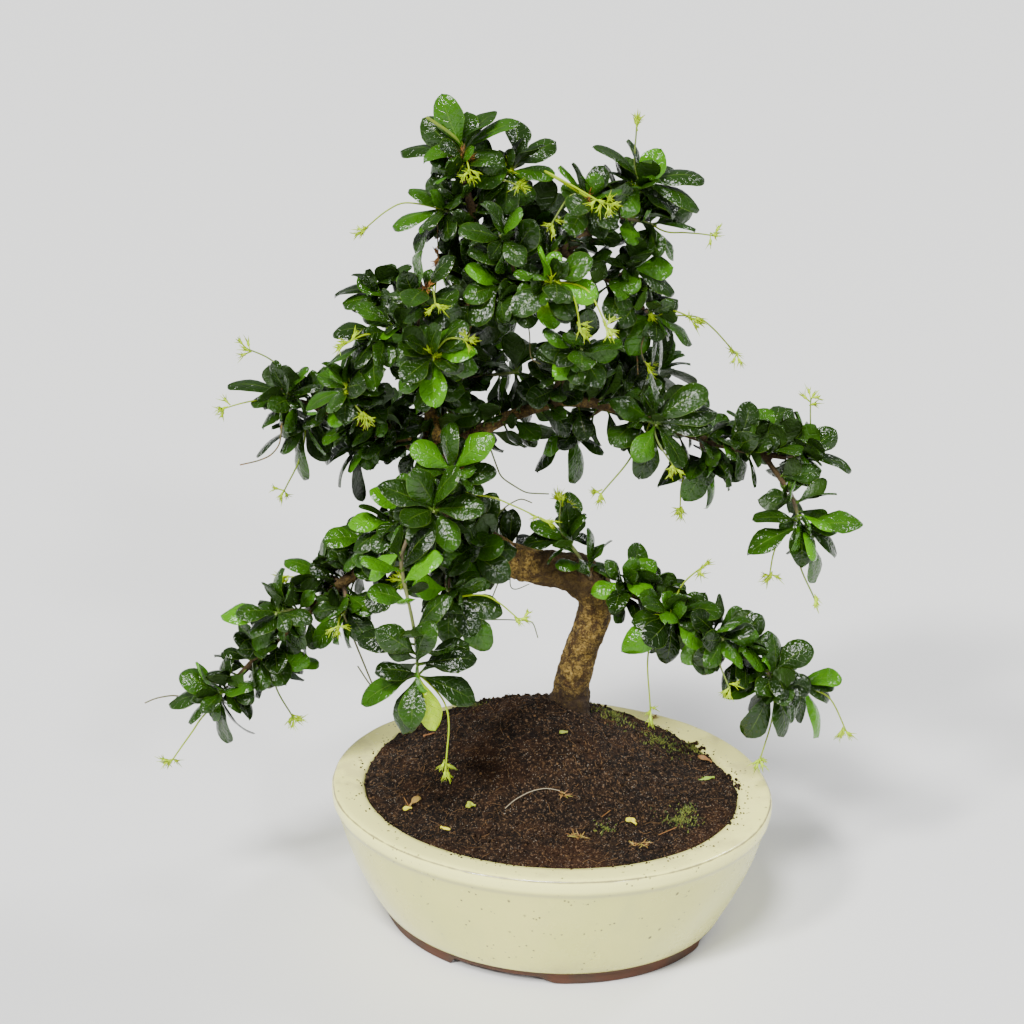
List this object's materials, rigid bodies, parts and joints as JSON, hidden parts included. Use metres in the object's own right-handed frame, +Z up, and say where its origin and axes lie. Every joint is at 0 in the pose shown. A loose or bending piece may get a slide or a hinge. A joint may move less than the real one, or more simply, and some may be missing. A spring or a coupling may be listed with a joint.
{
  "type": "potted fukien tea bonsai",
  "caption": "Small fukien tea bonsai: a bent trunk with leafy, budding shoots, rooted in mounded soil in a cream glazed oval bowl.",
  "frame": {"origin": "on the ground, under the middle of the plant's bounding box", "axes": "+Z up, -Y toward the viewer of the tree's front, +X to the viewer's right"},
  "size_m": [0.3113, 0.1944, 0.3625],
  "materials": {
    "pot_glaze": "gloss",
    "drain_screen": "matte",
    "soil": "matte",
    "bark": "matte",
    "leaf": "satin"
  },
  "bodies": {
    "root": {"pot": "pot_glaze", "drain_screen_left": "drain_screen", "drain_screen_right": "drain_screen", "soil": "soil", "trunk": "bark", "shoot_crown_left": "leaf", "shoot_crown_left_side": "leaf", "shoot_crown_top_middle": "leaf", "shoot_crown_right_top": "leaf", "shoot_crown_right_side": "leaf", "shoot_crown_right_front": "leaf", "shoot_crown_front": "leaf", "shoot_crown_middle": "leaf", "shoot_upper_front": "leaf", "shoot_upper_front_left": "leaf", "shoot_right_shoulder": "leaf", "shoot_right_side": "leaf", "shoot_right_inner_front": "leaf", "shoot_middle_dark": "leaf", "shoot_right_under": "leaf", "shoot_left_shoulder_end": "leaf", "shoot_left_shoulder_front": "leaf", "shoot_left_shoulder_low": "leaf", "shoot_middle_front": "leaf", "shoot_left_end": "leaf", "shoot_left_under": "leaf", "shoot_left_mid_top": "leaf", "shoot_left_mid_low": "leaf", "shoot_left_inner": "leaf", "shoot_front_centre": "leaf", "shoot_front_upper": "leaf", "shoot_front_left": "leaf", "shoot_limb_front": "leaf", "shoot_lower_centre": "leaf", "shoot_lower_centre_left": "leaf", "shoot_hanging": "leaf", "shoot_low_left_upper": "leaf", "shoot_low_left_middle": "leaf", "shoot_low_left_outer": "leaf", "shoot_low_left_hang": "leaf", "shoot_low_left_end": "leaf", "shoot_low_left_inner": "leaf", "shoot_right_in": "leaf", "shoot_right_mid": "leaf", "shoot_right_mid_low": "leaf", "shoot_right_outer": "leaf", "shoot_right_end": "leaf", "shoot_right_end_low": "leaf", "shoot_low_right_inner": "leaf", "shoot_low_right_middle": "leaf", "shoot_low_right_outer": "leaf", "shoot_low_right_end": "leaf", "shoot_low_right_tip": "leaf", "shoot_elbow": "leaf", "shoot_back_middle": "leaf", "shoot_back_crown_end": "leaf", "shoot_back_crown_left": "leaf", "shoot_back_right_end": "leaf", "shoot_back_low_end": "leaf", "shoot_back_left_end": "leaf"}
  },
  "joints": []
}
